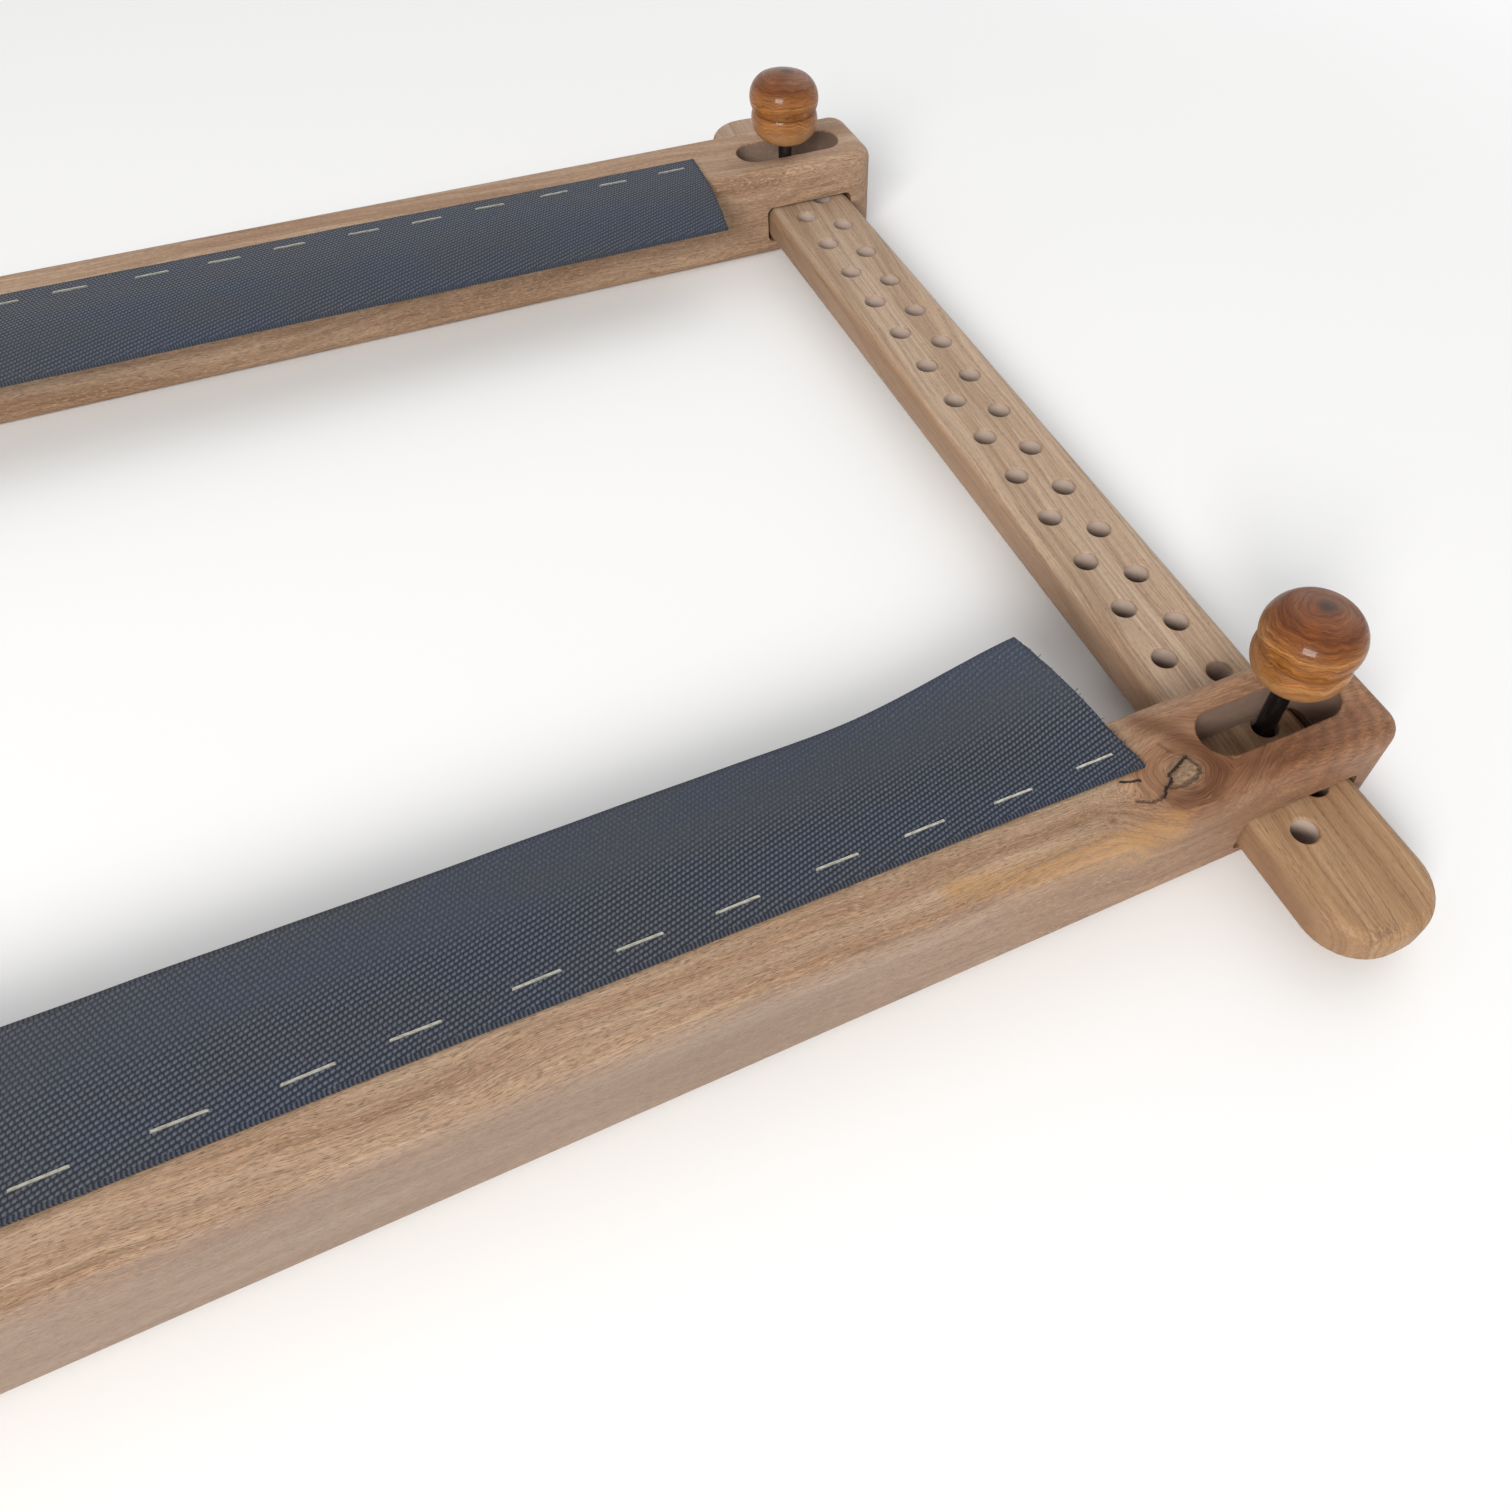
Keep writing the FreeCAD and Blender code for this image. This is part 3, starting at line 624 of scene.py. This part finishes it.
def webbing_shade():
    """Charcoal cotton webbing: slanting ribs of small floats, with a plain edge."""
    s = Shade("webbing_cloth")
    uv = s.tree.nodes.new("ShaderNodeUVMap")
    uv.uv_map = "weave"
    u, v, _ = s.split(s.vector("SCALE", uv.outputs[0], 1 / MM))

    def patches(along, across, shift=0.0, detail=2):
        return s.noise(s.join(s.times(u, along), s.times(v, across), shift), detail=detail)

    def hump(share, power):
        return s.math("POWER", s.math("SINE", s.times(share, math.pi)), power)

    wobble = patches(0.08, 0.08)
    u_w = s.add(u, s.swing(wobble, 0.5))
    v_w = s.add(v, s.swing(wobble, -0.35))
    slant = s.times(s.add(v_w, s.times(u_w, RIB_SLANT)), 1 / RIB)
    float_place = s.add(s.times(u_w, 1 / FLOAT), s.times(s.math("FLOOR", slant), 0.5))
    bead = hump(s.math("FRACT", float_place), 0.8)
    bead = s.times(hump(s.math("FRACT", slant), 1.1), s.spread(bead, 0, 1, 0.30, 1.0))
    edge = s.math("MINIMUM", v, s.add(s.times(v, -1.0), WEB_WIDTH / MM))
    selvedge = s.fade(edge, *SELVEDGE)
    cords = s.math("FRACT", s.times(u_w, 1 / SELVEDGE_PITCH))
    cords = s.times(s.math("SINE", s.times(cords, math.pi)), 0.62)
    bead = s.add(s.times(bead, s.rest_of(selvedge)), s.times(cords, selvedge))

    grain = patches(2.2, 2.2, detail=3)
    fuzz = patches(0.9, 0.9, 3.0, detail=3)
    broad = s.step(patches(0.02, 0.05), 0.35, 0.65)
    lit = s.times(s.step(bead, 0.25, 0.95), s.level(grain, 0.55, 1.2))
    # painted shade where the strip bends away over the beam's edge: the floats are smoothed out and
    # darker there, more towards the right end
    wear_and_painted_shade = s.times(s.step(v, *FOLD_SHADE_FROM), s.step(u, *FOLD_SHADE_ALONG, 0.35, 0.75))
    lit = s.add(s.times(lit, s.rest_of(wear_and_painted_shade)), s.times(wear_and_painted_shade, s.level(grain, 0.24, 0.46)))
    colour = s.mix(lit, s.mix(broad, *YARN_DARK), s.mix(broad, *YARN_LIGHT))
    colour = s.mix(s.times(s.step(fuzz, 0.58, 0.72), 0.20), colour, FUZZ_GREY)
    s.set("Base Color", colour)
    s.set("Roughness", 0.80)
    s.set("Specular IOR Level", 0.18)
    s.set("Sheen Weight", 0.08)
    s.set("Sheen Roughness", 0.5)
    s.set("Normal", s.bump(s.add(bead, s.times(grain, 0.25)), 0.0004, 0.8))
    return s


def thread_shade(name, colour):
    """A twisted cotton thread of one colour, lighter and darker along its twist."""
    s = Shade(name)
    twist = s.noise(s.scaled(s.place(), (3.0, 3.0, 3.0)), detail=2)
    s.set("Base Color", s.shade_by(colour, s.level(twist, 0.7, 1.3)))
    s.set("Roughness", 0.85)
    s.set("Normal", s.bump(twist, 0.0001, 0.5))
    return s


def smooth(value):
    """A smooth step from 0 to 1 as value goes from 0 to 1."""
    value = min(max(value, 0.0), 1.0)
    return value * value * (3 - 2 * value)


def wave(*place):
    """Smooth noise from about -1 to 1."""
    return noise.noise(Vector(place))


def cloth_point(share, t, length, width, top, look):
    """A point of the strip, from its middle: share of the length along, t in from its outer edge.

    The strip lies flat, then juts out over the beam's inner edge and droops. Where the look has a
    lift, its right end is cut on a slant and that corner curls up.
    """
    cut = WEB_END_CUT * look["lift"] * (t / width) ** CUT_POWER
    fray = 0.35 * MM * wave(t / (1.7 * MM), 4.0, 0.0)
    right = length / 2 - cut + fray
    left = -length / 2 + WEB_LEFT_CUT * (t / width) + fray
    x = left + (right - left) * share
    to_cut = (right - x) / WEB_LIFT_LENGTH
    lift = look["lift"] * max(1 - to_cut, 0) ** LIFT_POWER
    wavy = 0.02 * wave(x / (60 * MM), look["seed"], 0.0)
    y = 0.0
    z = 0.0
    for i in range(WEB_STEPS):
        part = (i + 0.5) / WEB_STEPS * t
        beyond = max((part - WEB_FLAT) / (width - WEB_FLAT), 0)
        curl = smooth((part - WEB_LIFT_START) / WEB_LIFT_BLEND)
        angle = curl * WEB_LIFT_ANGLE * lift + beyond * (wavy - math.radians(look["droop"]))
        y += math.cos(angle) * t / WEB_STEPS
        z += math.sin(angle) * t / WEB_STEPS
    flat_part = smooth((WEB_FLAT + 4 * MM - t) / (8 * MM))
    puff = 0.12 * MM * wave(x / (17 * MM), t / (12 * MM), look["seed"])
    wander = 0.6 * MM * wave(x / (90 * MM), 3.0, look["seed"]) * (1 - t / width)
    return Vector((x, y + wander, top + z + puff + 0.15 * MM * flat_part))


def strip_place(node, turn):
    """A strip's length and width, the Y of its outer edge, and the Z of its top."""
    low, high = (Vector(corner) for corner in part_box(node))
    return high.x - low.x, WEB_WIDTH, low.y if turn > 0 else high.y, high.z


def make_webbing(name, node, turn, look, shade):
    """A woven strip in place of its plain CAD solid."""
    length, width, edge, top = strip_place(node, turn)
    along, across = WEB_CELLS
    verts = []
    flat = []
    for j in range(across + 1):
        t = width * j / across
        for i in range(along + 1):
            point = cloth_point(i / along, t, length, width, top, look)
            verts.append((turn * point.x, edge + turn * point.y, point.z))
            flat.append((point.x + length / 2, t))
    faces = []
    for j in range(across):
        for i in range(along):
            a = j * (along + 1) + i
            faces.append((a, a + 1, a + along + 2, a + along + 1))
    mesh = bpy.data.meshes.new(name)
    mesh.from_pydata(verts, [], faces)
    layer = mesh.uv_layers.new(name="weave")
    for loop in mesh.loops:
        layer.data[loop.index].uv = flat[loop.vertex_index]
    for face in mesh.polygons:
        face.use_smooth = True
    thing = bpy.data.objects.new(name, mesh)
    bpy.context.collection.objects.link(thing)
    mesh.materials.append(shade.material)
    solid = thing.modifiers.new("thickness", "SOLIDIFY")
    solid.thickness = THICK
    solid.offset = -1
    side = "front" if turn > 0 else "rear"
    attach(thing, side + "_beam_set")
    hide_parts(node)


FRAY_THREADS = 62
FRAY_RADIUS = 0.11 * MM
FRAY_SEED = 11
PALE_SHARE = 0.22
AT_CUT, BEHIND_CUT = 1.0, 0.9985  # where along the strip a thread starts


def make_fray(name, node, turn, look, dark, pale):
    """Loose thread ends along the strip's cut end, the one on its look's right."""
    length, width, edge, top = strip_place(node, turn)
    rng = random.Random(FRAY_SEED + int(turn))
    curve = bpy.data.curves.new(name, "CURVE")
    curve.dimensions = "3D"
    curve.bevel_depth = FRAY_RADIUS
    curve.bevel_resolution = 1
    curve.use_fill_caps = True
    curve.materials.append(dark.material)
    curve.materials.append(pale.material)
    for k in range(FRAY_THREADS):
        t = width * (k + 0.3 + 0.4 * rng.random()) / FRAY_THREADS
        share = AT_CUT if rng.random() < 0.8 else BEHIND_CUT
        root = cloth_point(share, t, length, width, top - THICK * rng.uniform(0.2, 0.8), look)
        before = cloth_point(share - 0.004, t, length, width, root.z, look)
        out = Vector((root.x - before.x, root.y - before.y, 0)).normalized()
        reach = rng.uniform(0.3, 0.9) * MM if rng.random() < 0.9 else rng.uniform(0.9, 2.0) * MM
        side = Vector((rng.uniform(-0.5, 0.5), rng.uniform(-0.7, 0.7), rng.uniform(-0.5, 0.7)))
        spline = curve.splines.new("NURBS")
        spline.points.add(3)
        for i in range(4):
            step = i / 3
            spot = root + out * reach * (step - 0.25) + side * reach * step * step * 0.8
            spline.points[i].co = (turn * spot.x, edge + turn * spot.y, spot.z, 1)
        spline.order_u = 3
        spline.use_endpoint_u = True
        spline.material_index = 1 if rng.random() < PALE_SHARE else 0
    thing = bpy.data.objects.new(name, curve)
    bpy.context.collection.objects.link(thing)
    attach(thing, "front_beam_set" if turn > 0 else "rear_beam_set")


# ---------------------------------------------------------------------- stage

SKY_LIGHT = 0.46
FLOOR_FADE = (550, 1250)  # millimetres from the frame's middle
FLOOR_REACH = 20.0
FLOOR_DROP = 0.0002
FLOOR_TONES = ((0.80, 0.80, 0.80), (0.99, 0.99, 0.99))  # as it lights the frame, and as it is seen
LIGHTS = (
    # name, place from the peg, size, watts, colour
    ("window", (-1.55, -1.45, 1.35), (1.1, 0.9), 50, (1.0, 0.985, 0.96)),
    ("room", (1.6, 1.0, 1.7), (2.6, 2.6), 17, (0.97, 0.985, 1.0)),
)
LIGHT_AIM = (0.05, 0.1, 0)

# the camera, solved from the photograph: where it looks, and its place from the table under the peg
HEADING = math.radians(28.16)
PITCH = math.radians(53.36)
ROLL = math.radians(3.36)
LENS = 27.18
LENS_SHIFT = (-0.0713, -0.0162)
EYE = (-0.2131, -0.1344, 0.3013)


def make_floor():
    """A pale floor that keeps the shadow, and turns plain white away from the frame."""
    mesh = bpy.data.meshes.new("floor")
    corners = [(x * FLOOR_REACH, y * FLOOR_REACH, 0) for x, y in ((-1, -1), (1, -1), (1, 1), (-1, 1))]
    mesh.from_pydata(corners, [], [(0, 1, 2, 3)])
    floor = bpy.data.objects.new("floor", mesh)
    bpy.context.collection.objects.link(floor)
    floor.location.z = CAD_BOX[0][2] - FLOOR_DROP
    s = Shade("floor_pale")
    rays = s.tree.nodes.new("ShaderNodeLightPath").outputs
    seen = s.larger(rays["Is Camera Ray"], rays["Is Glossy Ray"])
    seen = s.larger(seen, rays["Is Transmission Ray"])
    away = s.vector("LENGTH", s.scaled(s.place(), (1.0, 1.0, 0.0)))
    glow = s.times(s.step(away, *FLOOR_FADE), seen)
    s.set("Base Color", s.shade_by(s.mix(seen, *FLOOR_TONES), s.rest_of(glow)))
    s.set("Emission Color", (1.0, 1.0, 1.0, 1.0))
    s.set("Emission Strength", glow)
    s.set("Roughness", 0.9)
    s.set("Specular IOR Level", 0.2)
    mesh.materials.append(s.material)


def make_light(name, spot, size, power, colour):
    """A soft rectangular light that shines on the frame's front right corner."""
    light = bpy.data.lights.new(name, "AREA")
    light.shape = "RECTANGLE"
    light.size, light.size_y = size
    light.energy = power
    light.color = colour
    lamp = bpy.data.objects.new(name, light)
    lamp.location = PEG + Vector(spot)
    aim = Vector(LIGHT_AIM) - Vector(spot)
    lamp.rotation_euler = aim.to_track_quat("-Z", "Y").to_euler()
    bpy.context.collection.objects.link(lamp)


def make_world():
    """Soft even light that shows as plain white where it is seen or mirrored."""
    world = bpy.data.worlds.new("soft_sky")
    world.use_nodes = True
    tree = world.node_tree
    rays = tree.nodes.new("ShaderNodeLightPath").outputs
    seen = rays["Is Camera Ray"]
    for kind in ("Is Glossy Ray", "Is Transmission Ray"):
        either = tree.nodes.new("ShaderNodeMath")
        either.operation = "MAXIMUM"
        tree.links.new(seen, either.inputs[0])
        tree.links.new(rays[kind], either.inputs[1])
        seen = either.outputs[0]
    level = tree.nodes.new("ShaderNodeMapRange")
    level.inputs["To Min"].default_value = SKY_LIGHT
    level.inputs["To Max"].default_value = 1.0
    tree.links.new(seen, level.inputs["Value"])
    sky = tree.nodes["Background"]
    sky.inputs["Color"].default_value = (1.0, 1.0, 1.0, 1)
    tree.links.new(level.outputs[0], sky.inputs["Strength"])
    bpy.context.scene.world = world


def make_camera():
    """A near view of the front right corner, from the left and above, with a slight roll."""
    camera = bpy.data.cameras.new("camera")
    camera.sensor_width = 36
    camera.lens = LENS
    camera.shift_x, camera.shift_y = LENS_SHIFT
    camera.clip_start = 0.01
    eye = bpy.data.objects.new("camera", camera)
    level = Vector((math.cos(HEADING), -math.sin(HEADING), 0))
    outward = math.cos(PITCH)
    ahead = Vector((math.sin(HEADING) * outward, math.cos(HEADING) * outward, -math.sin(PITCH)))
    upright = level.cross(ahead)
    right = level * math.cos(ROLL) + upright * math.sin(ROLL)
    up = upright * math.cos(ROLL) - level * math.sin(ROLL)
    turn = Matrix((right, up, -ahead)).transposed().to_4x4()
    table = Vector((PEG.x, PEG.y, CAD_BOX[0][2]))
    eye.matrix_world = Matrix.Translation(table + Vector(EYE)) @ turn
    bpy.context.collection.objects.link(eye)
    bpy.context.scene.camera = eye


# ---------------------------------------------------------------------- assembly

dress("front_beam", beam_shade("front_beam_wood", 1, 0.0))
dress("rear_beam", beam_shade("rear_beam_wood", -1, 0.0))
dress("right_lath", lath_shade("right_lath_wood", "right_lath", 1, 0.0))
dress("left_lath", lath_shade("left_lath_wood", "left_lath", -1, 310.0))
steel = pin_shade()
wire = staple_shade()
corners = [side + "_" + hand for side in ("front", "rear") for hand in ("right", "left")]
for i, corner in enumerate(corners):
    dress(corner + "_pin", steel)
    dress(corner + "_knob", knob_shade(corner + "_knob_wood", corner + "_knob", KNOB_SEED_STEP * i))
for side in ("front", "rear"):
    dress(side + "_staples", wire)

cloth = webbing_shade()
dark_thread = thread_shade("thread_dark", (0.05, 0.055, 0.07))
pale_thread = thread_shade("thread_pale", (0.55, 0.54, 0.52))
# droop is in degrees; area is the flat area in square metres of the strip cut on a slant
LOOKS = {
    "front": {"lift": 1.0, "droop": 4.0, "seed": 1.0, "area": 0.0264},
    "rear": {"lift": 0.0, "droop": 30.0, "seed": 5.0, "area": None},
}
for side, turn in (("front", 1), ("rear", -1)):
    look = LOOKS[side]
    make_webbing(side + "_webbing_cloth", side + "_webbing", turn, look, cloth)
    make_fray(side + "_webbing_fray", side + "_webbing", turn, look, dark_thread, pale_thread)

make_floor()
make_world()
for row in LIGHTS:
    make_light(*row)
make_camera()
bpy.context.scene.view_settings.view_transform = "Standard"
